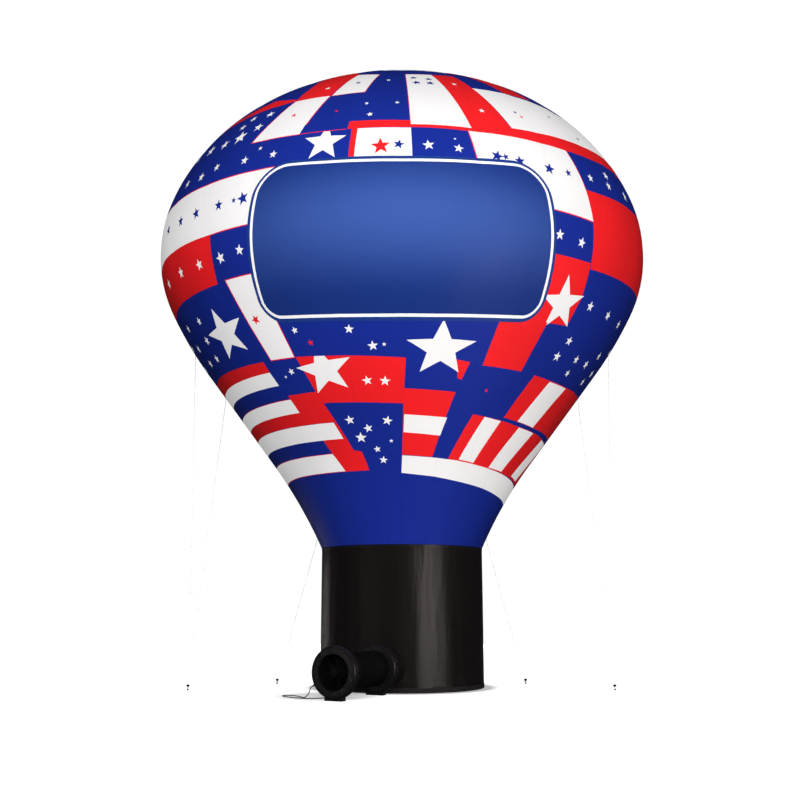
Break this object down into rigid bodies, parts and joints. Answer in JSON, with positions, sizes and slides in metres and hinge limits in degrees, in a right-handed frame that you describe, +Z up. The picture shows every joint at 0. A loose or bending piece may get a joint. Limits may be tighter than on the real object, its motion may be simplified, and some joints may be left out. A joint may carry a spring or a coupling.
{
  "type": "hot air balloon shaped inflatable with a fan",
  "caption": "Cold-air inflatable shaped like a hot air balloon: envelope with blank banners on a round black pedestal, tube fan with its cord, guy lines and stakes.",
  "frame": {"origin": "middle of the pedestal's underside, on the ground", "axes": "+Z up, -Y towards the front, where the front banner faces, and +X to the right as one looks at the front"},
  "size_m": [4.9364, 4.9524, 6.0965],
  "materials": {
    "envelope_fabric": "satin coated nylon in blue, red and white, printed and sewn in gores",
    "banner_fabric": "satin coated fabric, blue with a thin white line near its edge",
    "pedestal_fabric": "glossy coated black fabric",
    "webbing": "woven black webbing",
    "rope": "braided white cord",
    "steel": "bright steel wire",
    "black_plastic": "moulded black plastic",
    "dark_paint": "black powder coat",
    "rubber": "black rubber",
    "cord_rubber": "black flexible cord jacket"
  },
  "bodies": {
    "inflatable": {"envelope_body": "envelope_fabric", "envelope_crown": "envelope_fabric", "envelope_neck": "envelope_fabric", "banner_front": "banner_fabric", "banner_back": "banner_fabric", "pedestal_wall": "pedestal_fabric", "pedestal_floor": "pedestal_fabric", "zip_flap": "pedestal_fabric", "inflation_sleeve": "pedestal_fabric", "sleeve_strap": "webbing", "strap_buckle": "black_plastic", "fan_inlet_ring": "black_plastic", "fan_outlet_ring": "black_plastic", "fan_barrel": "dark_paint", "fan_rear_barrel": "dark_paint", "outlet_collar": "dark_paint", "fan_guard": "steel", "fan_motor": "dark_paint", "motor_struts": "dark_paint", "fan_foot_inlet": "rubber", "fan_foot_outlet": "rubber", "cord_gland": "black_plastic", "power_cord": "cord_rubber", "power_cord_coil": "cord_rubber", "power_cord_tail": "cord_rubber", "power_plug": "cord_rubber", "tether_patch_left_1": "envelope_fabric", "tether_patch_left_2": "envelope_fabric", "tether_patch_left_3": "envelope_fabric", "tether_patch_right_1": "envelope_fabric", "tether_patch_right_2": "envelope_fabric", "tether_patch_right_3": "envelope_fabric", "tether_ring_left_1": "steel", "tether_ring_left_2": "steel", "tether_ring_left_3": "steel", "tether_ring_right_1": "steel", "tether_ring_right_2": "steel", "tether_ring_right_3": "steel", "guy_line_left_1": "rope", "guy_line_left_2": "rope", "guy_line_left_3": "rope", "guy_line_right_1": "rope", "guy_line_right_2": "rope", "guy_line_right_3": "rope", "stake_left": "dark_paint", "stake_right": "dark_paint", "stake_rear_left": "dark_paint", "stake_rear_right": "dark_paint"},
    "fan_rotor": {"fan_impeller": "black_plastic"}
  },
  "joints": [
    {"name": "rotor_spin", "type": "hinge", "parent": "inflatable", "child": "fan_rotor", "pos_m": [-0.50833, -1.45535, 0.227], "axis": [-0.4695, -0.8829, 0], "continuous": true}
  ]
}
